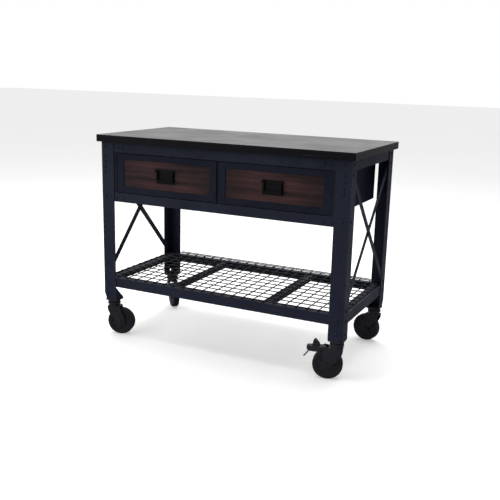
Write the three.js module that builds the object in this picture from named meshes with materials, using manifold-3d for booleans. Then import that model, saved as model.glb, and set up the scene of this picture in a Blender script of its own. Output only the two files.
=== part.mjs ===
// A rolling workbench: a thick worktop on an angle-iron frame, two drawers under the top,
// crossed braces at both ends, a wire shelf near the floor and four swivel casters.
// Millimetres, +X along the length, +Y to the back, +Z up, origin on the floor under the middle.
import * as THREE from 'three';
import { mergeVertices } from 'three/addons/utils/BufferGeometryUtils.js';
import Module from 'manifold-3d';

const wasm = await Module();
wasm.setup();

// ---------------------------------------------------------------- driving dimensions

// Whole bench
const bench_length = 1220;
const bench_depth = 610;
const bench_height = 944;
const worktop_thickness = 31;
const worktop_overhang = 17;
const worktop_corner = 4;
const worktop_edge = 1.2;
const fit_gap = 0.3; // left between pieces that are bolted or welded face to face
const overrun = 1; // how far a cutter reaches past a face, and a joined piece into another

// Frame
const leg_flange_x = 65;
const leg_flange_y = 60;
const leg_wall = 3;
const foot_plate = 4;
const foot_gusset = 59;
const foot_corner_cut = 15;
const foot_corner_rise = 35;
const rail_wall = 3;
const top_rail_height = 45;
const top_rail_flange = 33;
const drawer_rail_height = 41;
const drawer_opening_height = 182.7;
const brace_width = 25;
const brace_wall = 4;
const brace_end_inset = 26;
const brace_top_drop = 14;
const brace_foot_rise = 18;

// Shelf
const shelf_rise = 112; // from the casters' top to the shelf rails' top
const shelf_rail_height = 45;
const shelf_rail_flange = 40;
const shelf_side_flange = 46;
const shelf_bar_width = 30;
const shelf_bar_height = 22;
const shelf_bar_wall = 2.5;
const shelf_bar_from_middle = 235;
const wire = 5;
const wire_weld = 1; // how far two crossed wires sink into each other
const wire_pitch = 50;
const wire_shelf_inset_x = 15;
const wire_shelf_inset_y = 10;
const wire_lip = 11; // how far the shelf reaches past the rear rail, between the legs
const wire_lip_side_gap = 4; // from a leg to the nearest wire that reaches past the rail

// Drawer case
const case_leg_gap = 4;
const case_wall = 1.5;
const case_lip = 12;
const case_rear_space = 36;
const divider_wall = 2;
const divider_lip = 18;
const stile_gap = 1; // from a drawer's front to the strip beside it
const stile_lap = 12; // how far that strip reaches behind the leg

// Drawers
const front_side_gap = 16;
const front_middle_gap = 8;
const front_rail_gap = 3;
const front_setback = 5;
const front_depth = 18;
const front_border_side = 34;
const front_border_top = 25;
const front_border_bottom = 27;
const wood_thickness = 15;
const box_wall = 1.2;
const box_height = 140;
const box_lift = 11; // from the drawer rail's top to the box's bottom
const box_rear_space = 45;
const slide_space = 12.7;
const slide_wall = 1.2;
const slide_rear_space = 19.9; // from a slide's end to the box's rear
const slide_height = 34;
const slide_nest = 1.8; // up and down between a slide's two rails
const slide_lift = 40; // from the box's bottom to the slide's middle

// Pulls
const pull_width = 94;
const pull_height = 61;
const pull_plate = 3;
const pull_corner = 3;
const bail_width = 84;
const bail_height = 46;
const bail_bar = 7;
const bail_thickness = 6;
const bail_pin = 4.2;
const bail_pin_clearance = 0.4;
const bail_standoff = 5;
const lug_width = 5;
const lug_height = 9;
const lug_side_clearance = 0.5;
const lug_drop = 7; // from the plate's top edge to the bail's hinge

// Casters
const wheel_diameter = 127;
const wheel_width = 32;
const wheel_shoulder = 5;
const hub_width = 35;
const hub_diameter = 34;
const web_width = 20;
const rim_diameter = 92;
const rim_slope = 2; // how far the web runs out to the hub and to the rim
const rim_step = 1; // how far the rim's edge lies below the tyre's side
const swivel_trail = 35;
const fork_wall = 3;
const fork_side_clearance = 1.5;
const crown_clearance = 7.5;
const crown_wall = 4;
const crown_diameter = 60;
const race_height = 18;
const race_diameter = 60;
const race_neck_diameter = 50;
const race_gap = 0.5;
const dish_height = 9;
const dish_diameter = 56;
const caster_plate_wall = 4;
const caster_plate_margin = 1;
const kingpin = 12;
const kingpin_head = 20;
const kingpin_head_height = 4;
const kingpin_clearance = 0.5;
const axle = 10;
const axle_clearance = 0.3;
const axle_head = 17;
const axle_head_height = 5;
const bolt_sides = 6;
const axle_boss = 19; // radius of a fork plate round its axle
const swivel_headings = { front_right: 196.3, front_left: 18.1, rear_right: 170.2, rear_left: 316 };

// Brake pedal
const pedal_pivot_reach = 50;
const pedal_pivot_rise = 7; // above the wheel's top
const pedal_pin = 6;
const pedal_pin_clearance = 0.4;
const pedal_side_clearance = 1.5;
const pedal_wall = 3;
const pedal_length = 74; // from the pivot to the toe
const pedal_toe_width = 20;
const pedal_depth = 22; // from the tread's top to the skirt's lower edge, past the wheel
const pedal_depth_at_pin = 11;
const pedal_full_depth_from_pivot = 30;
const pedal_toe_cut = 8;
const pedal_knob_height = 28;
const pedal_knob_width = 18;
const pedal_knob_from_pivot = 20;
const pedal_knob_length = 31;
const pedal_tongue_drop = 28; // from the skirt's lower edge to the tongue's tip
const pedal_tongue_reach = 14; // past the toe
const pedal_tongue = 5;
const pedal_ear = 8;

// Smoothness of round shapes
const turn_steps = 22;
const small_turn_steps = 12;
const arc_steps = 4;

// ---------------------------------------------------------------- worked-out places

const frame_x = bench_length / 2 - worktop_overhang;
const frame_y = bench_depth / 2 - worktop_overhang;
const worktop_bottom = bench_height - worktop_thickness;
const frame_top = worktop_bottom - fit_gap;

const wheel_radius = wheel_diameter / 2;
const crown_bottom = wheel_diameter + crown_clearance;
const crown_top = crown_bottom + crown_wall;
const race_top = crown_top + race_height;
const dish_bottom = race_top + race_gap;
const caster_plate_bottom = dish_bottom + dish_height;
const caster_height = caster_plate_bottom + caster_plate_wall;
const leg_foot = caster_height + fit_gap;
const shelf_height = caster_height + shelf_rise;
const swivel_x = frame_x - leg_flange_x / 2;
const swivel_y = frame_y - leg_flange_y / 2;

const rail_x = frame_x - leg_wall - fit_gap; // outer faces of the rails, behind the leg flanges
const rail_y = frame_y - leg_wall - fit_gap;
const top_rail_bottom = frame_top - top_rail_height;
const drawer_rail_top = top_rail_bottom - drawer_opening_height;

const case_x = frame_x - leg_flange_x - case_leg_gap;
const case_front = -(rail_y - rail_wall - fit_gap);
const case_rear = frame_y - case_rear_space;
const case_top = frame_top - rail_wall - fit_gap;
const case_bottom = drawer_rail_top + fit_gap;

const front_outer = frame_x - leg_flange_x - front_side_gap;
const front_width = front_outer - front_middle_gap / 2;
const front_middle = (front_outer + front_middle_gap / 2) / 2;
const front_bottom = drawer_rail_top + front_rail_gap;
const front_top = top_rail_bottom - front_rail_gap;
const front_face = -(frame_y - front_setback);
const front_back = front_face + front_depth;
const wood_face = front_back - wood_thickness;

const bay_inner = divider_wall / 2;
const bay_outer = front_outer + stile_gap;
const box_half_width = (bay_outer - bay_inner) / 2 - slide_space;
const box_middle = (bay_outer + bay_inner) / 2;
const box_bottom = drawer_rail_top + box_lift;
const box_front = front_back + fit_gap;
const box_rear = case_rear - case_wall - box_rear_space;
const slide_middle = box_bottom + slide_lift;
const slide_front = box_front + fit_gap;
const slide_rear = box_rear - slide_rear_space;

// ---------------------------------------------------------------- materials

function finish(color, roughness, metalness) {
  return new THREE.MeshStandardMaterial({ color, roughness, metalness });
}

const powder_coat = finish(0x262b3a, 0.55, 0.5);
const black_board = finish(0x1b1c22, 0.4, 0.0);
const stained_wood = finish(0x46292a, 0.6, 0.0);
const dark_bronze = finish(0x1e1b1c, 0.45, 0.8);
const black_wire = finish(0x23242c, 0.5, 0.6);
const zinc = finish(0x9a9da3, 0.35, 0.9);
const pressed_steel = finish(0x2b2c33, 0.5, 0.7);
const dark_rubber = finish(0x1d1d22, 0.8, 0.0);

// ---------------------------------------------------------------- solids

function block(x, y, z) {
  const [width, depth, height] = [x, y, z].map(([low, high]) => high - low);
  const middle = [x, y, z].map(([low, high]) => (low + high) / 2);
  return new THREE.BoxGeometry(width, depth, height).translate(...middle);
}

function toSolid(geometry) {
  const bare = geometry.clone();
  bare.deleteAttribute('normal');
  bare.deleteAttribute('uv');
  const merged = mergeVertices(bare);
  const corners = [];
  for (let i = 0; i < merged.index.count; i += 3) {
    const [a, b, c] = [0, 1, 2].map((k) => merged.index.getX(i + k));
    if (a !== b && b !== c && c !== a) corners.push(a, b, c);
  }
  const vertProperties = new Float32Array(merged.attributes.position.array);
  const triVerts = new Uint32Array(corners);
  return new wasm.Manifold(new wasm.Mesh({ numProp: 3, vertProperties, triVerts }));
}

function toGeometry(solid) {
  const mesh = solid.getMesh();
  const geometry = new THREE.BufferGeometry();
  geometry.setAttribute('position', new THREE.BufferAttribute(new Float32Array(mesh.vertProperties), 3));
  geometry.setIndex(new THREE.BufferAttribute(new Uint32Array(mesh.triVerts), 1));
  geometry.computeVertexNormals();
  return geometry;
}

function join(first, ...others) {
  return toGeometry(others.reduce((sum, other) => sum.add(toSolid(other)), toSolid(first)));
}

function cut(first, ...cutters) {
  return toGeometry(cutters.reduce((rest, cutter) => rest.subtract(toSolid(cutter)), toSolid(first)));
}

// A copy turned over in X and/or Y, with its faces still pointing out
function mirror(geometry, side_x, side_y) {
  const copy = mergeVertices(geometry.clone().deleteAttribute('normal').deleteAttribute('uv'));
  copy.scale(side_x, side_y, 1);
  if (side_x * side_y < 0) {
    const index = copy.index;
    for (let i = 0; i < index.count; i += 3) {
      const second = index.getX(i + 1);
      index.setX(i + 1, index.getX(i + 2));
      index.setX(i + 2, second);
    }
  }
  copy.computeVertexNormals();
  return copy;
}

function outline(points) {
  return new THREE.Shape(points.map(([a, b]) => new THREE.Vector2(a, b)));
}

function roundedRectangle(half_a, half_b, radius) {
  const shape = new THREE.Shape();
  shape.absarc(half_a - radius, half_b - radius, radius, 0, Math.PI / 2);
  shape.absarc(-half_a + radius, half_b - radius, radius, Math.PI / 2, Math.PI);
  shape.absarc(-half_a + radius, -half_b + radius, radius, Math.PI, Math.PI * 1.5);
  shape.absarc(half_a - radius, -half_b + radius, radius, Math.PI * 1.5, Math.PI * 2);
  return shape;
}

function extrude(shape, length, bevel = 0) {
  return new THREE.ExtrudeGeometry(shape, {
    depth: length - 2 * bevel,
    bevelEnabled: bevel > 0,
    bevelThickness: bevel,
    bevelSize: bevel,
    bevelOffset: -bevel,
    bevelSegments: 1,
    curveSegments: arc_steps,
  }).translate(0, 0, bevel);
}

// An outline drawn in X and Z, standing between two places along Y
function uprightAlongY(shape, [low, high]) {
  return extrude(shape, high - low).rotateX(Math.PI / 2).translate(0, high, 0);
}

// An outline drawn in Y and Z, standing between two places along X
function uprightAlongX(shape, [low, high]) {
  const turn = new THREE.Matrix4().makeBasis(
    new THREE.Vector3(0, 1, 0),
    new THREE.Vector3(0, 0, 1),
    new THREE.Vector3(1, 0, 0),
  );
  return extrude(shape, high - low).applyMatrix4(turn).translate(low, 0, 0);
}

// A solid turned about Z from [radius, height] points that start and end on the axis or close up
function turned(points, steps = turn_steps) {
  const profile = points.map(([radius, height]) => new THREE.Vector2(radius, height));
  return new THREE.LatheGeometry(profile, steps).rotateX(Math.PI / 2);
}

function rodAlongY(radius, [low, high], x, z, steps = small_turn_steps) {
  return new THREE.CylinderGeometry(radius, radius, high - low, steps).translate(x, (low + high) / 2, z);
}

function rodAlongX(radius, [low, high], y, z, steps = small_turn_steps) {
  const rod = new THREE.CylinderGeometry(radius, radius, high - low, steps).rotateZ(Math.PI / 2);
  return rod.translate((low + high) / 2, y, z);
}

function rodAlongZ(radius, [low, high], x, y, steps = small_turn_steps) {
  const rod = new THREE.CylinderGeometry(radius, radius, high - low, steps).rotateX(Math.PI / 2);
  return rod.translate(x, y, (low + high) / 2);
}

const bench = new THREE.Group();

function add(name, geometry, material, parent = bench) {
  const mesh = new THREE.Mesh(geometry, material);
  mesh.name = name;
  parent.add(mesh);
  return mesh;
}

// ---------------------------------------------------------------- worktop

function worktop() {
  const shape = roundedRectangle(bench_length / 2, bench_depth / 2, worktop_corner);
  return extrude(shape, worktop_thickness, worktop_edge).translate(0, 0, worktop_bottom);
}

// ---------------------------------------------------------------- frame

// Takes the outer bottom corner off a leg at +X, -Y
function footCornerCutter() {
  const outward = new THREE.Vector3(1 / foot_corner_cut, -1 / foot_corner_cut, -1 / foot_corner_rise);
  const distance = 1 / outward.length();
  outward.normalize();
  const size = 4 * foot_corner_rise;
  const cutter = new THREE.BoxGeometry(size, size, size);
  const turn = new THREE.Quaternion().setFromUnitVectors(new THREE.Vector3(0, 0, 1), outward);
  const middle = outward.clone().multiplyScalar(size / 2 - distance);
  middle.add(new THREE.Vector3(frame_x, -frame_y, leg_foot));
  return cutter.applyQuaternion(turn).translate(middle.x, middle.y, middle.z);
}

// The leg at +X, -Y: two flanges, a foot plate and a gusset that closes the foot's inner side
function leg() {
  const inner_x = frame_x - leg_flange_x;
  const inner_y = -frame_y + leg_flange_y;
  const gusset = outline([
    [-frame_y, leg_foot],
    [inner_y, leg_foot],
    [inner_y, leg_foot + foot_plate],
    [-frame_y + leg_wall, leg_foot + foot_plate + foot_gusset],
    [-frame_y, leg_foot + foot_plate + foot_gusset],
  ]);
  const whole = join(
    block([inner_x, frame_x], [-frame_y, -frame_y + leg_wall], [leg_foot, frame_top]),
    block([frame_x - leg_wall, frame_x], [-frame_y, inner_y], [leg_foot, frame_top]),
    block([inner_x, frame_x], [-frame_y, inner_y], [leg_foot, leg_foot + foot_plate]),
    uprightAlongX(gusset, [inner_x, inner_x + leg_wall]),
  );
  return cut(whole, footCornerCutter());
}

// An angle rail at the front: upright face outwards, its other flange at the top going back
function frontRail(top, height, flange) {
  return join(
    block([-rail_x, rail_x], [-rail_y, -rail_y + rail_wall], [top - height, top]),
    block([-rail_x, rail_x], [-rail_y, -rail_y + flange], [top - rail_wall, top]),
  );
}

// An angle rail at the right end, between the front and rear rails and their flanges
function sideRail(top, height, flange, end_flange) {
  const face_end = rail_y - rail_wall - fit_gap;
  const flange_end = rail_y - end_flange - fit_gap;
  return join(
    block([rail_x - rail_wall, rail_x], [-face_end, face_end], [top - height, top - rail_wall - fit_gap]),
    block([rail_x - rail_wall, rail_x], [-flange_end, flange_end], [top - height, top]),
    block([rail_x - flange, rail_x], [-flange_end, flange_end], [top - rail_wall, top]),
  );
}

// One flat bar of an end brace, from the front leg's top to the rear leg's foot
function brace(layer) {
  const reach = frame_y - brace_end_inset;
  const high = top_rail_bottom - brace_top_drop;
  const low = shelf_height + brace_foot_rise;
  const length = Math.hypot(2 * reach, high - low);
  const tilt = Math.atan2(low - high, 2 * reach);
  const radius = brace_width / 2;
  const bar = new THREE.Shape();
  bar.absarc(length / 2, 0, radius, -Math.PI / 2, Math.PI / 2);
  bar.absarc(-length / 2, 0, radius, Math.PI / 2, Math.PI * 1.5);
  const outer = frame_x - leg_wall - fit_gap - layer * (brace_wall + fit_gap);
  return uprightAlongX(bar, [outer - brace_wall, outer])
    .rotateX(tilt)
    .translate(0, 0, (high + low) / 2);
}

function buildFrame() {
  const side_names = { left: -1, right: 1 };
  const depth_names = { front: 1, rear: -1 };
  for (const [side, side_x] of Object.entries(side_names)) {
    for (const [place, side_y] of Object.entries(depth_names)) {
      add(`leg_${place}_${side}`, mirror(leg(), side_x, side_y), powder_coat);
    }
    const top_rail = sideRail(frame_top, top_rail_height, top_rail_flange, top_rail_flange);
    add(`top_rail_${side}`, mirror(top_rail, side_x, 1), powder_coat);
    const shelf_rail = sideRail(shelf_height, shelf_rail_height, shelf_side_flange, shelf_rail_flange);
    add(`shelf_rail_${side}`, mirror(shelf_rail, side_x, 1), powder_coat);
    add(`brace_outer_${side}`, mirror(brace(0), side_x, 1), powder_coat);
    add(`brace_inner_${side}`, mirror(brace(1), side_x, -1), powder_coat);
  }
  for (const [place, side_y] of Object.entries(depth_names)) {
    const top_rail = frontRail(frame_top, top_rail_height, top_rail_flange);
    add(`top_rail_${place}`, mirror(top_rail, 1, side_y), powder_coat);
    const shelf_rail = frontRail(shelf_height, shelf_rail_height, shelf_rail_flange);
    add(`shelf_rail_${place}`, mirror(shelf_rail, 1, side_y), powder_coat);
  }
  add('drawer_rail', frontRail(drawer_rail_top, drawer_rail_height, top_rail_flange), powder_coat);
}

// ---------------------------------------------------------------- shelf

// A channel with its open side down, from the front rail to the rear rail under their flanges
function shelfBar() {
  const half = shelf_bar_width / 2;
  const top = shelf_height - rail_wall - fit_gap;
  const end = rail_y - rail_wall - fit_gap;
  const section = outline([
    [-half, top - shelf_bar_height],
    [-half + shelf_bar_wall, top - shelf_bar_height],
    [-half + shelf_bar_wall, top - shelf_bar_wall],
    [half - shelf_bar_wall, top - shelf_bar_wall],
    [half - shelf_bar_wall, top - shelf_bar_height],
    [half, top - shelf_bar_height],
    [half, top],
    [-half, top],
  ]);
  return uprightAlongY(section, [-end, end]);
}

// Places of the wires across a half width, one pitch apart and the same on both sides
function wirePlaces(half) {
  const count = Math.floor((2 * half - wire) / wire_pitch);
  return Array.from({ length: count + 1 }, (_, i) => (i - count / 2) * wire_pitch);
}

// Wires across the shelf lie on the rails, wires along it lie on those. Between the rear legs the
// sheet reaches past the rear rail and ends in one more wire along it.
function wireShelf() {
  const half_x = frame_x - wire_shelf_inset_x;
  const half_y = frame_y - wire_shelf_inset_y;
  const low = shelf_height + fit_gap;
  const high = low + wire - wire_weld;
  const lip_x = frame_x - leg_flange_x - wire_lip_side_gap;
  const lip_y = frame_y + wire_lip;
  const cross_wires = wirePlaces(half_x).map((x) => {
    const rear = Math.abs(x) + wire / 2 < lip_x ? lip_y : half_y;
    return block([x - wire / 2, x + wire / 2], [-half_y, rear], [low, low + wire]);
  });
  const long_wires = wirePlaces(half_y).map((y) =>
    block([-half_x, half_x], [y - wire / 2, y + wire / 2], [high, high + wire]));
  const lip_wire = block([-lip_x, lip_x], [lip_y - wire, lip_y], [high, high + wire]);
  return join(...cross_wires, ...long_wires, lip_wire);
}

function buildShelf() {
  add('wire_shelf', wireShelf(), black_wire);
  add('shelf_bar_left', shelfBar().translate(-shelf_bar_from_middle, 0, 0), powder_coat);
  add('shelf_bar_right', shelfBar().translate(shelf_bar_from_middle, 0, 0), powder_coat);
}

// ---------------------------------------------------------------- drawer case

// Fills from a drawer's front to behind the leg beside it, flush with the rails, at +X
function stile() {
  return block([bay_outer, frame_x - leg_flange_x + stile_lap], [-rail_y, case_front + case_wall],
    [case_bottom, top_rail_bottom - fit_gap]);
}

// A channel along the case's right side that brings its slide out to the stile's inner edge
function slideSpacer() {
  const z = [slide_middle - slide_height / 2, slide_middle + slide_height / 2];
  const y = [case_front + case_wall, slide_rear];
  const outside = block([bay_outer, case_x - case_wall + overrun / 2], y, z);
  const hollow = block([bay_outer + case_wall, case_x + overrun], [y[0] + case_wall, y[1] + overrun],
    [z[0] + case_wall, z[1] - case_wall]);
  return cut(outside, hollow);
}

// Sides and back of one folded sheet, open at the front, with lips turned in above and below, and
// with a stile and a slide spacer on each side
function drawerCase() {
  const outside = block([-case_x, case_x], [case_front, case_rear], [case_bottom, case_top]);
  const inner_x = case_x - case_wall;
  const inside = block([-inner_x, inner_x], [case_front - overrun, case_rear - case_wall],
    [case_bottom + case_wall, case_top - case_wall]);
  const open_x = case_x - case_lip;
  const opening = block([-open_x, open_x], [case_front - overrun, case_rear - case_lip],
    [case_bottom - overrun, case_top + overrun]);
  const right = join(stile(), slideSpacer());
  return join(cut(outside, inside, opening), right, mirror(right, -1, 1));
}

// The sheet between the two drawers, with a lip along its top to hang from
function caseDivider() {
  const half = divider_wall / 2;
  const rear = case_rear - case_lip - fit_gap;
  return join(
    block([-half, half], [case_front, rear], [case_bottom, case_top]),
    block([-divider_lip, divider_lip], [case_front, rear], [case_top - divider_wall, case_top]),
  );
}

function buildCase() {
  add('drawer_case', drawerCase(), powder_coat);
  add('case_divider', caseDivider(), powder_coat);
}

// ---------------------------------------------------------------- drawers

function drawerBox() {
  const outside = block([-box_half_width, box_half_width], [box_front, box_rear],
    [box_bottom, box_bottom + box_height]);
  const half = box_half_width - box_wall;
  const inside = block([-half, half], [box_front + box_wall, box_rear - box_wall],
    [box_bottom + box_wall, box_bottom + box_height + overrun]);
  return cut(outside, inside);
}

function frontFrame() {
  const half = front_width / 2;
  const outside = block([-half, half], [front_face, front_back], [front_bottom, front_top]);
  const window = block([-half + front_border_side, half - front_border_side],
    [front_face - overrun, front_back + overrun],
    [front_bottom + front_border_bottom, front_top - front_border_top]);
  return cut(outside, window);
}

function woodPanel() {
  const half = front_width / 2 - front_border_side - fit_gap;
  return block([-half, half], [wood_face, wood_face + wood_thickness],
    [front_bottom + front_border_bottom + fit_gap, front_top - front_border_top - fit_gap]);
}

// Where a pull sits: centred on the wood panel, with its hinge line near the plate's top
const pull_middle = (front_bottom + front_border_bottom + front_top - front_border_top) / 2;
const pull_back = wood_face - fit_gap;
const pull_face = pull_back - pull_plate;
const bail_hinge_y = pull_face - bail_standoff;
const bail_hinge_z = pull_middle + pull_height / 2 - lug_drop;

function pullPlate() {
  const shape = roundedRectangle(pull_width / 2, pull_height / 2, pull_corner);
  const plate = uprightAlongY(shape, [pull_face, pull_back]).translate(0, 0, pull_middle);
  const inner = bail_width / 2 + lug_side_clearance;
  const reach = bail_hinge_y - lug_height / 2;
  const lug_z = [bail_hinge_z - lug_height / 2, bail_hinge_z + lug_height / 2];
  const lugs = [-1, 1].map((side) => {
    const x = [side * inner, side * (inner + lug_width)].sort((a, b) => a - b);
    return block(x, [reach, pull_face + overrun], lug_z);
  });
  const hole_end = inner + lug_width + overrun;
  const hole_radius = bail_pin / 2 + bail_pin_clearance;
  const hole = rodAlongX(hole_radius, [-hole_end, hole_end], bail_hinge_y, bail_hinge_z);
  return cut(join(plate, ...lugs), hole);
}

// The swinging loop: two arms, a grip across their lower ends and a pin out of each top end
function bail() {
  const half = bail_width / 2;
  const top = bail_hinge_z + bail_bar / 2;
  const bottom = bail_hinge_z - bail_height;
  const y = [bail_hinge_y - bail_thickness / 2, bail_hinge_y + bail_thickness / 2];
  const loop = outline([
    [-half, top],
    [-half, bottom],
    [half, bottom],
    [half, top],
    [half - bail_bar, top],
    [half - bail_bar, bottom + bail_bar],
    [-half + bail_bar, bottom + bail_bar],
    [-half + bail_bar, top],
  ]);
  const pin_end = half + lug_side_clearance + lug_width;
  const pins = [-1, 1].map((side) => {
    const x = [side * (half - overrun), side * pin_end].sort((a, b) => a - b);
    return rodAlongX(bail_pin / 2, x, bail_hinge_y, bail_hinge_z);
  });
  return join(uprightAlongY(loop, y), ...pins);
}

// A slide rail's channel section, its web at x = 0 and its flanges going to +X
function slideRail(depth, height) {
  const half = height / 2;
  const section = outline([
    [0, -half],
    [depth, -half],
    [depth, -half + slide_wall],
    [slide_wall, -half + slide_wall],
    [slide_wall, half - slide_wall],
    [depth, half - slide_wall],
    [depth, half],
    [0, half],
  ]);
  return uprightAlongY(section, [slide_front, slide_rear]).translate(0, 0, slide_middle);
}

// The four slide rails of one drawer; wall_side is the side of the drawer that they are on
function buildSlides(name, middle) {
  const half_bay = (bay_outer - bay_inner) / 2;
  const fixed_depth = slide_space - 3 * fit_gap - slide_wall;
  const moving_depth = fixed_depth - slide_wall - fit_gap;
  const moving_height = slide_height - 2 * slide_wall - 2 * slide_nest;
  for (const [side, sign] of [['left', -1], ['right', 1]]) {
    const fixed = mirror(slideRail(fixed_depth, slide_height), -sign, 1);
    add(`${name}_case_slide_${side}`, fixed, zinc).position.x = middle + sign * (half_bay - fit_gap);
    const moving = mirror(slideRail(moving_depth, moving_height), sign, 1);
    add(`${name}_box_slide_${side}`, moving, zinc).position.x = middle + sign * (box_half_width + fit_gap);
  }
}

function buildDrawer(name, side) {
  const front = new THREE.Group();
  front.position.x = side * front_middle;
  bench.add(front);
  add(`${name}_front_frame`, frontFrame(), powder_coat, front);
  add(`${name}_wood_panel`, woodPanel(), stained_wood, front);
  add(`${name}_pull_plate`, pullPlate(), dark_bronze, front);
  add(`${name}_bail`, bail(), dark_bronze, front);
  add(`${name}_box`, drawerBox(), powder_coat).position.x = side * box_middle;
  buildSlides(name, side * box_middle);
}

// ---------------------------------------------------------------- casters
// Each caster is drawn with its swivel axis on Z and its wheel trailing to +X.

const fork_inner = hub_width / 2 + fork_side_clearance;
const fork_outer = fork_inner + fork_wall;
const pedal_pivot_z = wheel_diameter + pedal_pivot_rise;
const pedal_half_width = fork_inner - pedal_side_clearance;

// The plate that bolts under the foot, its bearing dish and the kingpin that holds the fork
function casterPlate() {
  const shape = roundedRectangle(leg_flange_x / 2 - caster_plate_margin,
    leg_flange_y / 2 - caster_plate_margin, worktop_corner);
  const plate = extrude(shape, caster_plate_wall).translate(0, 0, caster_plate_bottom);
  const head_top = crown_bottom - race_gap;
  const middle = turned([
    [0, caster_plate_bottom + overrun],
    [dish_diameter / 2, caster_plate_bottom + overrun],
    [dish_diameter / 2, dish_bottom + dish_height / 2],
    [race_neck_diameter / 2, dish_bottom],
    [kingpin / 2, dish_bottom],
    [kingpin / 2, head_top],
    [kingpin_head / 2, head_top],
    [kingpin_head / 2, head_top - kingpin_head_height],
    [0, head_top - kingpin_head_height],
  ].reverse());
  return join(plate, middle);
}

// One side of the fork: from the crown down to a round boss about the axle, with an ear behind
// the crown that carries the brake pedal's pin
function forkSide(y, with_ear) {
  const front = -crown_diameter / 2 + fork_wall;
  const rear = crown_diameter / 2 + fork_wall;
  const ear = pedal_pivot_reach + pedal_ear;
  const shape = new THREE.Shape();
  shape.moveTo(front, crown_top);
  shape.lineTo(front, crown_bottom - crown_wall);
  shape.quadraticCurveTo(front, wheel_radius + 2 * axle_boss, swivel_trail - axle_boss, wheel_radius);
  shape.absarc(swivel_trail, wheel_radius, axle_boss, Math.PI, Math.PI * 2);
  shape.lineTo(swivel_trail + axle_boss, wheel_radius + axle_boss);
  if (with_ear) {
    shape.lineTo(ear, pedal_pivot_z - pedal_ear);
    shape.absarc(pedal_pivot_reach, pedal_pivot_z, pedal_ear, 0, Math.PI / 2);
  } else {
    shape.lineTo(rear, crown_bottom - crown_wall);
  }
  shape.lineTo(rear, crown_top);
  return uprightAlongY(shape, y);
}

// The race that turns on the plate's dish, a ring round the kingpin
function forkRace() {
  const bore = kingpin / 2 + kingpin_clearance;
  return turned([
    [bore, crown_top - overrun],
    [race_neck_diameter / 2, crown_top - overrun],
    [race_neck_diameter / 2, crown_top + race_height / 3],
    [race_diameter / 2, crown_top + race_height / 2],
    [race_diameter / 2, race_top],
    [bore, race_top],
    [bore, crown_top - overrun],
  ]);
}

function fork(with_ear) {
  const crown = extrude(roundedRectangle(crown_diameter / 2, fork_outer, fork_wall), crown_wall)
    .translate(fork_wall, 0, crown_bottom);
  const whole = join(
    crown,
    forkSide([fork_inner, fork_outer], with_ear),
    forkSide([-fork_outer, -fork_inner], with_ear),
    forkRace(),
  );
  const pin_radius = kingpin / 2 + kingpin_clearance;
  const pin_hole = rodAlongZ(pin_radius, [crown_bottom - overrun, crown_top + overrun], 0, 0, turn_steps);
  const across = [-fork_outer - overrun, fork_outer + overrun];
  const axle_hole = rodAlongY(axle / 2 + axle_clearance, across, swivel_trail, wheel_radius);
  if (!with_ear) return cut(whole, pin_hole, axle_hole);
  const pedal_radius = pedal_pin / 2 + pedal_pin_clearance;
  const pedal_hole = rodAlongY(pedal_radius, across, pedal_pivot_reach, pedal_pivot_z);
  return cut(whole, pin_hole, axle_hole, pedal_hole);
}

// The wheel about its own axis, then stood up on its axle
function wheel() {
  const bore = axle / 2 + axle_clearance;
  const half = wheel_width / 2;
  const side = [
    [bore, hub_width / 2],
    [hub_diameter / 2, hub_width / 2],
    [hub_diameter / 2 + rim_slope, web_width / 2],
    [rim_diameter / 2 - rim_slope, web_width / 2],
    [rim_diameter / 2, half - rim_step],
    [wheel_radius - wheel_shoulder, half],
    [wheel_radius, half - wheel_shoulder],
  ];
  const other = side.map(([radius, width]) => [radius, -width]).reverse();
  return turned([...side, ...other, side[0]].reverse())
    .rotateX(Math.PI / 2)
    .translate(swivel_trail, 0, wheel_radius);
}

function axleBolt() {
  const head = [fork_outer + fit_gap, fork_outer + fit_gap + axle_head_height];
  const shaft = [-head[0] - overrun, head[0] + overrun];
  return join(
    rodAlongY(axle / 2, shaft, swivel_trail, wheel_radius),
    rodAlongY(axle_head / 2, head, swivel_trail, wheel_radius, bolt_sides),
    rodAlongY(axle_head / 2, [-head[1], -head[0]], swivel_trail, wheel_radius, bolt_sides),
  );
}

// The tread seen from above, smaller all round by an inset
function pedalTread(inset) {
  const back = pedal_pivot_reach - pedal_ear / 2 + inset;
  const toe = pedal_pivot_reach + pedal_length - inset;
  const waist = pedal_pivot_reach + pedal_length * 2 / 3;
  const half = pedal_half_width - inset;
  const toe_half = pedal_toe_width / 2 - inset / 2;
  return outline([
    [back, -half],
    [waist, -half],
    [toe, -toe_half],
    [toe, toe_half],
    [waist, half],
    [back, half],
  ]);
}

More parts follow.
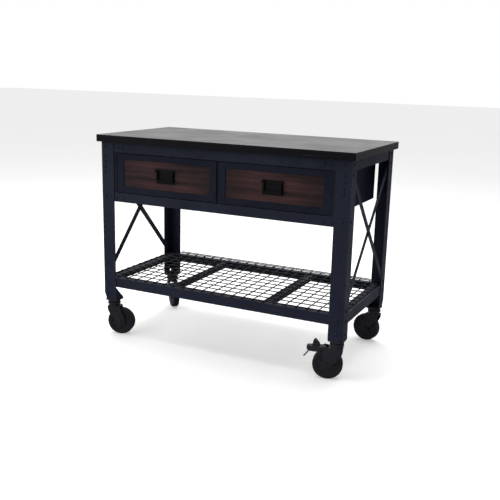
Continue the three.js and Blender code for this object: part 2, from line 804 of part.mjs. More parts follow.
// The brake pedal: a hollow tread that deepens past the wheel, a knob on top, a release tongue
// under the toe, and a pin through the fork's ears
function brakePedal() {
  const back = pedal_pivot_reach - pedal_ear / 2;
  const toe = pedal_pivot_reach + pedal_length;
  const top = pedal_pivot_z + pedal_pin / 2 + pedal_wall - overrun;
  const bottom = top - pedal_depth;
  const full_depth = pedal_pivot_reach + pedal_full_depth_from_pivot;
  const across = [-pedal_half_width - overrun, pedal_half_width + overrun];
  const shell = extrude(pedalTread(0), pedal_depth).translate(0, 0, bottom);
  const hollow = extrude(pedalTread(pedal_wall), pedal_depth - pedal_wall + overrun)
    .translate(0, 0, bottom - overrun);
  const over_wheel = uprightAlongY(outline([
    [back - overrun, bottom - overrun],
    [full_depth, bottom - overrun],
    [pedal_pivot_reach + pedal_ear, top - pedal_depth_at_pin],
    [back - overrun, top - pedal_depth_at_pin],
  ]), across);
  const under_toe = uprightAlongY(outline([
    [toe - pedal_toe_cut, bottom - overrun],
    [toe + overrun, bottom - overrun],
    [toe + overrun, bottom + pedal_toe_cut],
  ]), across);
  const knob_start = pedal_pivot_reach + pedal_knob_from_pivot;
  const knob_end = knob_start + pedal_knob_length;
  const knob = uprightAlongY(outline([
    [knob_start, top - overrun],
    [knob_end, top - overrun],
    [knob_end - pedal_wall, top + pedal_knob_height * 0.7],
    [knob_end - 3 * pedal_wall, top + pedal_knob_height],
    [knob_end - 5 * pedal_wall, top + pedal_knob_height],
    [knob_start, top + pedal_knob_height / 3],
  ]), [-pedal_knob_width / 2, pedal_knob_width / 2]);
  const tongue_tip = toe + pedal_tongue_reach;
  const tongue_root = toe - pedal_toe_cut - pedal_tongue;
  const tongue = uprightAlongY(outline([
    [tongue_root, top - overrun],
    [tongue_root, bottom],
    [tongue_tip - pedal_tongue, bottom - pedal_tongue_drop],
    [tongue_tip, bottom - pedal_tongue_drop],
    [tongue_root + pedal_tongue, bottom],
    [tongue_root + pedal_tongue, top - overrun],
  ]), [-pedal_toe_width / 4, pedal_toe_width / 4]);
  const pin_ends = [-fork_outer - overrun, fork_outer + overrun];
  const pin = rodAlongY(pedal_pin / 2, pin_ends, pedal_pivot_reach, pedal_pivot_z);
  return join(cut(shell, hollow, over_wheel, under_toe), knob, tongue, pin);
}

function buildCaster(place, side_x, side_y, with_brake) {
  const group = new THREE.Group();
  group.position.set(side_x * swivel_x, side_y * swivel_y, 0);
  bench.add(group);
  add(`caster_plate_${place}`, casterPlate(), pressed_steel, group);
  const swivel = new THREE.Group();
  swivel.rotation.z = THREE.MathUtils.degToRad(swivel_headings[place]);
  group.add(swivel);
  add(`caster_fork_${place}`, fork(with_brake), pressed_steel, swivel);
  add(`caster_wheel_${place}`, wheel(), dark_rubber, swivel);
  add(`caster_axle_${place}`, axleBolt(), zinc, swivel);
  if (with_brake) add(`brake_pedal_${place}`, brakePedal(), pressed_steel, swivel);
}

// ---------------------------------------------------------------- the whole bench

add('worktop', worktop(), black_board);
buildFrame();
buildShelf();
buildCase();
buildDrawer('left_drawer', -1);
buildDrawer('right_drawer', 1);
buildCaster('front_right', 1, -1, true);
buildCaster('front_left', -1, -1, false);
buildCaster('rear_right', 1, 1, false);
buildCaster('rear_left', -1, 1, false);

export default bench;
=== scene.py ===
import math

import bmesh
import bpy
from bpy.props import FloatProperty, FloatVectorProperty, IntProperty, PointerProperty
from mathutils import Matrix, Vector


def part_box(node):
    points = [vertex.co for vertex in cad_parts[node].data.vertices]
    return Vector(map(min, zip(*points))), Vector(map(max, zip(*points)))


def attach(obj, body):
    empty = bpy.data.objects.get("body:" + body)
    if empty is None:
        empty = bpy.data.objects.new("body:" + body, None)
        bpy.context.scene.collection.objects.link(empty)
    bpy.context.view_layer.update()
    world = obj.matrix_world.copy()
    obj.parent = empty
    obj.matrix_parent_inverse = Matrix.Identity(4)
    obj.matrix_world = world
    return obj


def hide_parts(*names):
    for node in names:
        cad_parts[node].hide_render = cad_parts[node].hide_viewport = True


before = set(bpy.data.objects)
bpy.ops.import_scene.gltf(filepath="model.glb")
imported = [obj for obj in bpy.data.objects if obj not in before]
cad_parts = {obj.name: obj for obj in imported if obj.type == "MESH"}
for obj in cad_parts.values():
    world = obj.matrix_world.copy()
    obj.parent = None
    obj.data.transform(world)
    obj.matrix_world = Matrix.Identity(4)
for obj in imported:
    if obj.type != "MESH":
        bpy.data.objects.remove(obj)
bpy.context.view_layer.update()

bl_info = {
    "name": "Rolling workbench",
    "version": (1, 0, 0),
    "blender": (4, 5, 0),
    "location": "View3D > Sidebar > Workbench",
    "description": "Rounded steelwork, boards, wires, casters and finishes of a two-drawer rolling workbench",
    "category": "Object",
}

MM = 0.001
CORNERS = ("front_right", "front_left", "rear_right", "rear_left")
BRAKED_CORNERS = ("front_right",)
SIDES = {"left": -1, "right": 1}
ENDS = {"front": -1, "rear": 1}
DRAWERS = ("left_drawer", "right_drawer")
WEAR = "edge_wear"
X_AXIS = Vector((1, 0, 0))
Y_AXIS = Vector((0, 1, 0))
Z_AXIS = Vector((0, 0, 1))
WOOD_LOW, WOOD_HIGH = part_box("right_drawer_wood_panel")
WOOD_MIDDLE = (WOOD_LOW.x + WOOD_HIGH.x) / 2
WOOD_HALF_WIDTH = (WOOD_HIGH.x - WOOD_LOW.x) / 2


# ---------------------------------------------------------------- sizes and colours

def length(name, description, millimetres):
    return FloatProperty(name=name, description=description, default=millimetres * MM,
                         min=0.0, unit="LENGTH")


def colour(name, description, value):
    return FloatVectorProperty(name=name, description=description, default=value,
                               size=3, min=0.0, max=1.0, subtype="COLOR")


class WorkbenchSizes(bpy.types.PropertyGroup):
    plate_edge: length("Plate edge", "Radius of the edges of legs, rails and braces", 0.9)
    sheet_edge: length("Sheet edge", "Radius of the edges of thin folded sheet", 0.45)
    board_edge: length("Board edge", "Radius of the worktop's edges", 2.0)
    bolt_head: length("Bolt head", "Radius of the round heads along legs and rails", 6.5)
    bolt_rise: length("Bolt rise", "Height of the round heads", 3.6)
    nut_size: length("Nut size", "Radius across the corners of the foot nuts", 5.2)
    nut_height: length("Nut height", "Height of the foot nuts", 5.0)
    weld_radius: length("Weld radius", "Radius of the weld beads", 2.2)
    wheel_steps: IntProperty(name="Wheel steps", description="Sides round each wheel",
                             default=72, min=24, max=144)


class WorkbenchColours(bpy.types.PropertyGroup):
    paint: colour("Paint", "Powder coat of the frame", (0.0235, 0.0290, 0.0560))
    paint_dark: colour("Paint, dark", "Powder coat where it lies thicker", (0.0150, 0.0190, 0.0380))
    board: colour("Board", "Black worktop", (0.0055, 0.0055, 0.0080))
    wood_dark: colour("Wood, dark", "Dark lines of the stained wood", (0.026, 0.010, 0.010))
    wood_light: colour("Wood, light", "Light bands of the stained wood", (0.118, 0.045, 0.046))
    pull: colour("Pull", "Dark bronze of the pulls", (0.008, 0.0068, 0.0065))
    wire: colour("Wire", "Coating of the wire shelf", (0.012, 0.013, 0.018))
    tyre: colour("Tyre", "Rubber of the wheels", (0.0280, 0.0280, 0.0364))
    floor: colour("Floor", "Pale floor", (0.86, 0.86, 0.86))
    floor_bounce: colour("Floor bounce", "Light that the floor throws back up", (0.30, 0.30, 0.32))


# ---------------------------------------------------------------- node helpers

def add_node(tree, kind, inputs=None, **settings):
    """Adds a shader node. An input is a value, or the output of another node."""
    new = tree.nodes.new(f"ShaderNode{kind}")
    for name, value in settings.items():
        setattr(new, name, value)
    for name, value in (inputs or {}).items():
        if isinstance(value, bpy.types.NodeSocket):
            tree.links.new(value, new.inputs[name])
        else:
            new.inputs[name].default_value = value
    return new


def calculate(tree, operation, first, second=0.0, clamp=False):
    return add_node(tree, "Math", {0: first, 1: second}, operation=operation, use_clamp=clamp).outputs[0]


def remap(tree, value, low, high, new_low=0.0, new_high=1.0):
    inputs = {"Value": value, "From Min": low, "From Max": high, "To Min": new_low, "To Max": new_high}
    return add_node(tree, "MapRange", inputs, clamp=True).outputs[0]


def mix_colours(tree, share, first, second):
    mixer = add_node(tree, "Mix", {0: share, 6: first, 7: second}, data_type="RGBA", clamp_factor=True)
    return mixer.outputs[2]


def noise(tree, vector, scale, detail=2.0, roughness=0.5, distortion=0.0):
    inputs = {"Vector": vector, "Scale": scale, "Detail": detail, "Roughness": roughness,
              "Distortion": distortion}
    return add_node(tree, "TexNoise", inputs).outputs["Fac"]


def stretched(tree, vector, scale):
    return add_node(tree, "Mapping", {"Vector": vector, "Scale": scale}).outputs[0]


def new_group(name, inputs, outputs):
    tree = bpy.data.node_groups.new(name, "ShaderNodeTree")
    for socket, kind in inputs:
        tree.interface.new_socket(socket, in_out="INPUT", socket_type=f"NodeSocket{kind}")
    for socket in outputs:
        tree.interface.new_socket(socket, in_out="OUTPUT", socket_type="NodeSocketFloat")
    return tree, tree.nodes.new("NodeGroupInput").outputs, tree.nodes.new("NodeGroupOutput").inputs


def powder_texture():
    """Fine orange peel, slow drift in tone, and small dark and light flecks."""
    tree, given, made = new_group("powder_texture", [("Vector", "Vector"), ("Grain", "Float")],
                                  ["Height", "Tone", "Fleck"])
    peel = noise(tree, given["Vector"], given["Grain"], detail=3.0, roughness=0.62)
    tree.links.new(peel, made["Height"])
    drift = noise(tree, given["Vector"], 5.5, detail=4.0, roughness=0.6, distortion=0.4)
    tree.links.new(remap(tree, drift, 0.32, 0.68), made["Tone"])
    fleck = noise(tree, given["Vector"], 190.0, detail=1.0)
    tree.links.new(remap(tree, fleck, 0.62, 0.72), made["Fleck"])
    return tree


def worn_edges():
    """Where paint or plating is rubbed through along a piece's outer edges."""
    tree, given, made = new_group("worn_edges", [("Vector", "Vector"), ("Amount", "Float")], ["Mask"])
    edge = add_node(tree, "Attribute", attribute_name=WEAR).outputs["Fac"]
    patches = remap(tree, noise(tree, given["Vector"], 38.0, detail=5.0, roughness=0.65), 0.40, 0.66)
    mask = calculate(tree, "MULTIPLY", edge, patches)
    tree.links.new(calculate(tree, "MULTIPLY", mask, given["Amount"], clamp=True), made["Mask"])
    return tree


def settled_dust():
    """Dust on faces that look up, gathered in soft patches."""
    tree, given, made = new_group("settled_dust", [("Vector", "Vector"), ("Amount", "Float")], ["Mask"])
    normal = add_node(tree, "TexCoord").outputs["Normal"]
    up = add_node(tree, "SeparateXYZ", {0: normal}).outputs["Z"]
    flat = remap(tree, up, 0.45, 0.95)
    patches = remap(tree, noise(tree, given["Vector"], 14.0, detail=6.0, roughness=0.7), 0.30, 0.75)
    mask = calculate(tree, "MULTIPLY", flat, patches)
    tree.links.new(calculate(tree, "MULTIPLY", mask, given["Amount"], clamp=True), made["Mask"])
    return tree


def fine_scratches():
    """Hairline scratches in two directions."""
    tree, given, made = new_group("fine_scratches", [("Vector", "Vector"), ("Amount", "Float")], ["Mask"])
    marks = []
    for scale in ((6.0, 520.0, 420.0), (460.0, 9.0, 380.0)):
        line = noise(tree, stretched(tree, given["Vector"], scale), 1.0, detail=2.0)
        marks.append(remap(tree, line, 0.70, 0.76))
    both = calculate(tree, "MAXIMUM", *marks)
    broken = remap(tree, noise(tree, given["Vector"], 11.0, detail=3.0), 0.46, 0.62)
    mask = calculate(tree, "MULTIPLY", both, broken)
    tree.links.new(calculate(tree, "MULTIPLY", mask, given["Amount"], clamp=True), made["Mask"])
    return tree


def wood_grain():
    """Long grain along X: broad soft bands, fine fibres and short open pores."""
    tree, given, made = new_group("wood_grain", [("Vector", "Vector")], ["Band", "Fibre", "Pore"])
    vector = given["Vector"]
    broad = noise(tree, stretched(tree, vector, (3.0, 20.0, 26.0)), 1.0, detail=3.0, distortion=0.6)
    bands = add_node(tree, "TexWave", {
        "Vector": stretched(tree, vector, (1.6, 9.0, 24.0)), "Scale": 0.5, "Distortion": 9.0,
        "Detail": 3.0, "Detail Scale": 0.9, "Detail Roughness": 0.62,
    }, bands_direction="Z", wave_profile="SIN").outputs["Fac"]
    mixed = calculate(tree, "ADD", calculate(tree, "MULTIPLY", bands, 0.26),
                      calculate(tree, "MULTIPLY", remap(tree, broad, 0.3, 0.7), 0.74))
    tree.links.new(mixed, made["Band"])
    fibre = noise(tree, stretched(tree, vector, (9.0, 420.0, 420.0)), 1.0, detail=4.0, roughness=0.7)
    tree.links.new(fibre, made["Fibre"])
    pore = noise(tree, stretched(tree, vector, (55.0, 900.0, 900.0)), 1.0, detail=1.0)
    tree.links.new(remap(tree, pore, 0.64, 0.72), made["Pore"])
    return tree


GROUP_MAKERS = (powder_texture, worn_edges, settled_dust, fine_scratches, wood_grain)


def group(tree, name, **inputs):
    """Places a shared node group, which is made the first time it is asked for."""
    if name not in bpy.data.node_groups:
        next(maker for maker in GROUP_MAKERS if maker.__name__ == name)()
    placed = add_node(tree, "Group", node_tree=bpy.data.node_groups[name])
    for key, value in inputs.items():
        if isinstance(value, bpy.types.NodeSocket):
            tree.links.new(value, placed.inputs[key])
        else:
            placed.inputs[key].default_value = value
    return placed.outputs


# ---------------------------------------------------------------- finishes

def rgba(value):
    return (*value, 1.0)


def new_finish(name, constants):
    """A material with an empty surface; constants go straight onto the shader's sockets."""
    material = bpy.data.materials.new(name)
    material.use_nodes = True
    tree = material.node_tree
    shader = tree.nodes["Principled BSDF"]
    for socket, value in constants.items():
        shader.inputs[socket].default_value = value
    place = add_node(tree, "TexCoord").outputs["Object"]
    return material, tree, shader.inputs, place


def raise_surface(tree, sockets, height, strength, distance):
    bump = add_node(tree, "Bump", {"Height": height, "Strength": strength, "Distance": distance})
    tree.links.new(bump.outputs[0], sockets["Normal"])


def coated(name, light, dark, worn, grain=300.0, rough=(0.45, 0.6), wear=0.6, dust=0.2,
           scratch=0.3, bump=0.25, fleck=0.25, dust_colour=(0.16, 0.155, 0.15), **constants):
    """A painted, plated or moulded finish: drifting tone, flecks, worn edges, dust and scratches."""
    material, tree, sockets, place = new_finish(name, constants)
    texture = group(tree, "powder_texture", Vector=place, Grain=grain)
    edges = group(tree, "worn_edges", Vector=place, Amount=wear)["Mask"]
    dirt = group(tree, "settled_dust", Vector=place, Amount=dust)["Mask"]
    lines = group(tree, "fine_scratches", Vector=place, Amount=scratch)["Mask"]
    base = mix_colours(tree, texture["Tone"], rgba(dark), rgba(light))
    flecks = calculate(tree, "MULTIPLY", texture["Fleck"], fleck)
    base = mix_colours(tree, flecks, base, rgba([min(1.0, 2.4 * c) for c in light]))
    base = mix_colours(tree, calculate(tree, "MAXIMUM", edges, lines), base, rgba(worn))
    base = mix_colours(tree, dirt, base, rgba(dust_colour))
    tree.links.new(base, sockets["Base Color"])
    roughness = remap(tree, texture["Tone"], 0.0, 1.0, rough[1], rough[0])
    roughness = calculate(tree, "ADD", roughness, calculate(tree, "MULTIPLY", dirt, 0.3))
    roughness = calculate(tree, "SUBTRACT", roughness, calculate(tree, "MULTIPLY", edges, 0.12), clamp=True)
    tree.links.new(roughness, sockets["Roughness"])
    height = calculate(tree, "SUBTRACT", texture["Height"], calculate(tree, "MULTIPLY", lines, 0.8))
    raise_surface(tree, sockets, height, bump, 0.0006)
    return material


def frame_paint(colours):
    return coated("frame_paint", colours.paint, colours.paint_dark, (0.085, 0.085, 0.095), grain=420.0,
                  rough=(0.5, 0.64), wear=0.8, dust=0.08, bump=0.45,
                  **{"Specular IOR Level": 0.24, "Metallic": 0.0})


# The frame paint darkened to three quarters: painted shade on the drawer case, divider, fronts and boxes,
# which sit under the worktop and top rail.
def drawer_paint_with_painted_shade(colours):
    return coated("drawer_paint_with_painted_shade", [0.75 * c for c in colours.paint], [0.75 * c for c in colours.paint_dark],
                  (0.075, 0.075, 0.085), grain=520.0, rough=(0.48, 0.6), wear=0.65, dust=0.05,
                  bump=0.3, fleck=0.15, **{"Specular IOR Level": 0.14, "Metallic": 0.0})


def pull_bronze(colours):
    return coated("pull_bronze", colours.pull, [0.6 * c for c in colours.pull], (0.16, 0.10, 0.06),
                  grain=260.0, rough=(0.36, 0.5), wear=0.9, dust=0.1, bump=0.4, fleck=0.35,
                  **{"Metallic": 0.3, "Specular IOR Level": 0.22})


def wire_coat(colours):
    return coated("wire_coat", colours.wire, [0.6 * c for c in colours.wire], (0.1, 0.1, 0.11),
                  grain=240.0, rough=(0.42, 0.56), wear=0.4, dust=0.12, bump=0.3, fleck=0.2,
                  **{"Metallic": 0.0, "Specular IOR Level": 0.25})


def slide_zinc(colours):
    return coated("slide_zinc", (0.50, 0.51, 0.53), (0.36, 0.37, 0.40), (0.62, 0.62, 0.63), grain=150.0,
                  rough=(0.28, 0.42), wear=0.5, dust=0.1, bump=0.12, fleck=0.3,
                  **{"Metallic": 0.9})


def caster_metal(colours):
    return coated("caster_metal", (0.038, 0.038, 0.048), (0.022, 0.022, 0.029), (0.13, 0.125, 0.12),
                  grain=330.0, rough=(0.38, 0.52), wear=0.85, dust=0.2, bump=0.3, fleck=0.2,
                  **{"Metallic": 0.15, "Specular IOR Level": 0.35})


def bolt_black(colours):
    return coated("bolt_black", (0.03, 0.031, 0.038), (0.016, 0.017, 0.022), (0.2, 0.19, 0.18),
                  grain=500.0, rough=(0.3, 0.44), wear=0.8, dust=0.25, bump=0.2, fleck=0.3,
                  **{"Metallic": 0.4, "Specular IOR Level": 0.5})


def tyre_rubber(colours):
    return coated("tyre_rubber", colours.tyre, [0.55 * c for c in colours.tyre], (0.06, 0.058, 0.056),
                  grain=620.0, rough=(0.58, 0.74), wear=0.5, dust=0.5, scratch=0.15, bump=0.4,
                  fleck=0.3, dust_colour=(0.11, 0.105, 0.1), **{"Specular IOR Level": 0.35})


def black_board(colours):
    """A black laminate top: smooth sheen, hairline scratches, rubbed edges and a little dust."""
    material, tree, sockets, place = new_finish("black_board", {"Specular IOR Level": 0.17})
    texture = group(tree, "powder_texture", Vector=place, Grain=650.0)
    lines = group(tree, "fine_scratches", Vector=place, Amount=0.5)["Mask"]
    edges = group(tree, "worn_edges", Vector=place, Amount=0.55)["Mask"]
    dirt = group(tree, "settled_dust", Vector=place, Amount=0.07)["Mask"]
    lighter = rgba([1.6 * c for c in colours.board])
    base = mix_colours(tree, texture["Tone"], rgba(colours.board), lighter)
    base = mix_colours(tree, calculate(tree, "MAXIMUM", edges, lines), base, (0.05, 0.05, 0.055, 1.0))
    base = mix_colours(tree, dirt, base, (0.2, 0.2, 0.2, 1.0))
    tree.links.new(base, sockets["Base Color"])
    roughness = remap(tree, texture["Tone"], 0.0, 1.0, 0.34, 0.25)
    roughness = calculate(tree, "ADD", roughness, calculate(tree, "MULTIPLY", dirt, 0.5))
    roughness = calculate(tree, "ADD", roughness, calculate(tree, "MULTIPLY", lines, 0.2), clamp=True)
    tree.links.new(roughness, sockets["Roughness"])
    raise_surface(tree, sockets, calculate(tree, "SUBTRACT", texture["Height"], lines), 0.12, 0.0004)
    return material


def stained_wood(colours):
    """Reddish-brown stained wood with its grain along the drawer, darker towards the ends."""
    material, tree, sockets, place = new_finish("stained_wood", {"Specular IOR Level": 0.3,
                                                                 "Coat Roughness": 0.45})
    grain = group(tree, "wood_grain", Vector=place)
    edges = group(tree, "worn_edges", Vector=place, Amount=0.6)["Mask"]
    base = mix_colours(tree, remap(tree, grain["Band"], 0.15, 0.85), rgba(colours.wood_dark),
                       rgba(colours.wood_light))
    fibre = remap(tree, grain["Fibre"], 0.35, 0.68, 0.0, 0.4)
    base = mix_colours(tree, fibre, base, rgba(colours.wood_dark))
    pores = calculate(tree, "MULTIPLY", grain["Pore"], 0.7)
    base = mix_colours(tree, pores, base, (0.006, 0.003, 0.003, 1.0))
    # Darker towards the panel's ends.
    along = add_node(tree, "SeparateXYZ", {0: place}).outputs["X"]
    from_middle = calculate(tree, "ABSOLUTE", calculate(
        tree, "SUBTRACT", calculate(tree, "ABSOLUTE", along), WOOD_MIDDLE))
    darker_at_ends = remap(tree, from_middle, 0.42 * WOOD_HALF_WIDTH, 1.02 * WOOD_HALF_WIDTH, 0.0, 0.62)
    base = mix_colours(tree, darker_at_ends, base, (0.010, 0.006, 0.007, 1.0))
    base = mix_colours(tree, edges, base, (0.08, 0.045, 0.035, 1.0))
    tree.links.new(base, sockets["Base Color"])
    tree.links.new(remap(tree, grain["Band"], 0.0, 1.0, 0.62, 0.46), sockets["Roughness"])
    height = calculate(tree, "SUBTRACT", grain["Fibre"], calculate(tree, "MULTIPLY", grain["Pore"], 0.9))
    raise_surface(tree, sockets, height, 0.5, 0.0005)
    return material


def pale_floor(colours):
    """A pale floor lit up to white where the camera sees it, and duller in what it throws back."""
    material, tree, sockets, place = new_finish("pale_floor", {"Specular IOR Level": 0.0})
    drift = remap(tree, noise(tree, place, 0.8, detail=3.0), 0.3, 0.7)
    seen = add_node(tree, "LightPath").outputs["Is Camera Ray"]
    pale = mix_colours(tree, drift, rgba([0.985 * c for c in colours.floor]), rgba(colours.floor))
    base = mix_colours(tree, seen, rgba(colours.floor_bounce), pale)
    tree.links.new(base, sockets["Base Color"])
    sockets["Emission Color"].default_value = (1.0, 1.0, 1.0, 1.0)
    tree.links.new(calculate(tree, "MULTIPLY", seen, 0.36), sockets["Emission Strength"])
    tree.links.new(remap(tree, drift, 0.0, 1.0, 0.75, 0.85), sockets["Roughness"])
    return material


FINISH_MAKERS = (frame_paint, drawer_paint_with_painted_shade, pull_bronze, wire_coat, slide_zinc, caster_metal,
                 bolt_black, tyre_rubber, black_board, stained_wood, pale_floor)


def finish_named(name):
    if name not in bpy.data.materials:
        maker = next(maker for maker in FINISH_MAKERS if maker.__name__ == name)
        maker(bpy.context.scene.workbench_colours)
    return bpy.data.materials[name]


# ---------------------------------------------------------------- modelling helpers

def make_active(piece):
    bpy.ops.object.select_all(action="DESELECT")
    piece.select_set(True)
    bpy.context.view_layer.objects.active = piece


def edit(piece):
    make_active(piece)
    bpy.ops.object.mode_set(mode="EDIT")


def stop_editing():
    bpy.ops.object.mode_set(mode="OBJECT")


def select_faces(piece, wanted):
    """In edit mode, selects the faces whose middle and normal pass the test."""
    bpy.ops.mesh.select_mode(type="FACE")
    bpy.ops.mesh.select_all(action="DESELECT")
    shape = bmesh.from_edit_mesh(piece.data)
    for face in shape.faces:
        face.select_set(wanted(face.calc_center_median(), face.normal))
    bmesh.update_edit_mesh(piece.data)


def select_edges(piece, wanted):
    """In edit mode, selects the edges whose two ends pass the test."""
    bpy.ops.mesh.select_mode(type="EDGE")
    bpy.ops.mesh.select_all(action="DESELECT")
    shape = bmesh.from_edit_mesh(piece.data)
    for line in shape.edges:
        line.select_set(wanted(line.verts[0].co, line.verts[1].co))
    bmesh.update_edit_mesh(piece.data)


def apply_modifier(piece, kind, **settings):
    make_active(piece)
    bpy.ops.object.modifier_add(type=kind)
    modifier = piece.modifiers[-1]
    for name, value in settings.items():
        setattr(modifier, name, value)
    bpy.ops.object.modifier_apply(modifier=modifier.name)


def place_in_mesh(piece):
    """Moves a primitive's place, turn and scale into its mesh."""
    make_active(piece)
    bpy.ops.object.transform_apply(location=True, rotation=True, scale=True)


def copy_node(node, name):
    """A cleaned copy of a CAD node's mesh: merged, with flat areas as single faces."""
    piece = bpy.data.objects.new(name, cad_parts[node].data.copy())
    bpy.context.scene.collection.objects.link(piece)
    piece.data.materials.clear()
    make_active(piece)
    bpy.ops.mesh.customdata_custom_splitnormals_clear()
    edit(piece)
    bpy.ops.mesh.select_all(action="SELECT")
    bpy.ops.mesh.remove_doubles(threshold=0.00001)
    bpy.ops.mesh.dissolve_limited(angle_limit=math.radians(0.5))
    stop_editing()
    return piece


def round_edges(piece, radius, segments=2, angle=35.0):
    """Rounds the sharp edges and marks the middle of each rounding in the wear attribute."""
    mesh = piece.data
    mesh.materials.clear()
    for _ in range(2):
        mesh.materials.append(None)
    apply_modifier(piece, "BEVEL", width=radius, segments=segments, limit_method="ANGLE",
                   angle_limit=math.radians(angle), material=1, use_clamp_overlap=True)
    on_edge = [1.0] * len(mesh.vertices)
    for face in mesh.polygons:
        if face.material_index == 0:
            for index in face.vertices:
                on_edge[index] = 0.0
        face.material_index = 0
    attribute = mesh.attributes.new(WEAR, "FLOAT", "POINT")
    attribute.data.foreach_set("value", on_edge)
    mesh.materials.clear()
    smooth(piece)


def smooth(piece, angle=40.0):
    make_active(piece)
    bpy.ops.object.shade_smooth_by_angle(angle=math.radians(angle))
    apply_modifier(piece, "WEIGHTED_NORMAL", keep_sharp=True, weight=60)


def finish_piece(piece, finish, body, slot, *nodes):
    piece.data.materials.clear()
    piece.data.materials.append(finish_named(finish))
    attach(piece, body)
    if nodes:
        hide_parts(*nodes)
    return piece


def rounded_node(node, radius, finish, body, slot, segments=2, angle=35.0):
    piece = copy_node(node, f"{node}_shown")
    round_edges(piece, radius, segments, angle)
    return finish_piece(piece, finish, body, slot, node)


def turned_to(direction):
    """The turn that takes +Z to a direction."""
    return Z_AXIS.rotation_difference(Vector(direction)).to_matrix().to_4x4()


def joined(pieces, name):
    """Joins pieces into the first of them, and names it."""
    bpy.ops.object.select_all(action="DESELECT")
    for piece in pieces:
        piece.select_set(True)
    bpy.context.view_layer.objects.active = pieces[0]
    if len(pieces) > 1:
        bpy.ops.object.join()
    pieces[0].name = name
    return pieces[0]


def copies(master, places, name):
    """Joins copies of a master, made about the origin with +Z outwards, into one piece."""
    made = []
    for point, direction in places:
        piece = bpy.data.objects.new(name, master.data.copy())
        bpy.context.scene.collection.objects.link(piece)
        piece.data.transform(Matrix.Translation(point) @ turned_to(direction))
        made.append(piece)
    return joined(made, name)


def remove(piece):
    bpy.data.objects.remove(piece)


def cylinder(name, sides, radius, depth, middle=0.0):
    """A cylinder along Z to start a piece from, with its middle at a height."""
    bpy.ops.object.select_all(action="DESELECT")
    bpy.ops.mesh.primitive_cylinder_add(vertices=sides, radius=radius, depth=depth,
                                        location=(0, 0, middle))
    piece = bpy.context.active_object
    piece.name = name
    place_in_mesh(piece)
    return piece


def round_head(radius, rise):
    """A domed bolt head on a thin collar, standing on the origin."""
    piece = cylinder("round_head", 20, radius, rise, rise / 2)
    edit(piece)
    select_faces(piece, lambda middle, normal: normal.z > 0.9)
    bpy.ops.transform.translate(value=(0, 0, -0.75 * rise))
    bpy.ops.mesh.inset(thickness=0.12 * radius, depth=0.0)
    for thickness, depth in ((0.04, 0.32), (0.14, 0.24), (0.22, 0.15), (0.28, 0.04)):
        bpy.ops.mesh.inset(thickness=thickness * radius, depth=depth * rise)
    stop_editing()
    smooth(piece, 55.0)
    return piece


def hex_nut(radius, height):
    """A hexagonal nut with chamfered corners and the end of its bolt, standing on the origin."""
    piece = cylinder("hex_nut", 6, radius, height, height / 2)
    edit(piece)
    select_faces(piece, lambda middle, normal: normal.z > 0.9)
    for thickness, depth in ((0.1, 0.08), (0.28, 0.0), (0.02, 0.2), (0.08, 0.04)):
        bpy.ops.mesh.inset(thickness=thickness * radius, depth=depth * height)
    stop_editing()
    round_edges(piece, 0.06 * radius, segments=2, angle=25.0)
    return piece


# ---------------------------------------------------------------- places

def low(node):
    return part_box(node)[0]


def high(node):
    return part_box(node)[1]


def middle_of(node):
    return (low(node) + high(node)) / 2


LEG_FACE_X = high("leg_front_right").x
LEG_FACE_Y = high("leg_rear_right").y
LEG_INNER_X = low("leg_front_right").x
LEG_FOOT = low("leg_front_right").z
RAIL_FACE_Y = high("top_rail_rear").y
SHELF_TOP = high("shelf_rail_front").z
WHEEL_MIDDLE = {c: middle_of(f"caster_wheel_{c}") for c in CORNERS}
AXLE_MIDDLE = {c: middle_of(f"caster_axle_{c}") for c in CORNERS}
PLATE_MIDDLE = {c: middle_of(f"caster_plate_{c}") for c in CORNERS}

LEG_BOLT_HEIGHTS = (0.893, 0.850, 0.826, 0.801, 0.780, 0.668, 0.350, 0.262, 0.246, 0.200)
LEG_BOLT_X = {"left": 0.575, "right": 0.563}
END_BOLT_HEIGHTS = (0.893, 0.8537, 0.668, 0.300, 0.258, 0.200)
END_BOLT_INSET = 0.026
RAIL_BOLT_RISE = 0.0215
DRAWER_RAIL_BOLT_RISE = 0.015
RAIL_BOLT_PLACES = (-0.506, -0.484, 0.477, 0.506)
DRAWER_RAIL_BOLT_PLACES = (-0.518, -0.484, 0.484, 0.518)
FOOT_BOLT_X = 0.024
FOOT_BOLT_Y = 0.022
FOOT_WALL = 0.004
CASTER_PLATE_WALL = 0.004
WHEEL_RADIUS = high("caster_wheel_front_right").z / 2


def axle_direction(corner):
    """The way a wheel's axle points, from the fork's swivel to its wheel and a quarter turn on."""
    trail = AXLE_MIDDLE[corner] - PLATE_MIDDLE[corner]
    trail.z = 0
    return Z_AXIS.cross(trail.normalized())


# ---------------------------------------------------------------- operators: the bench

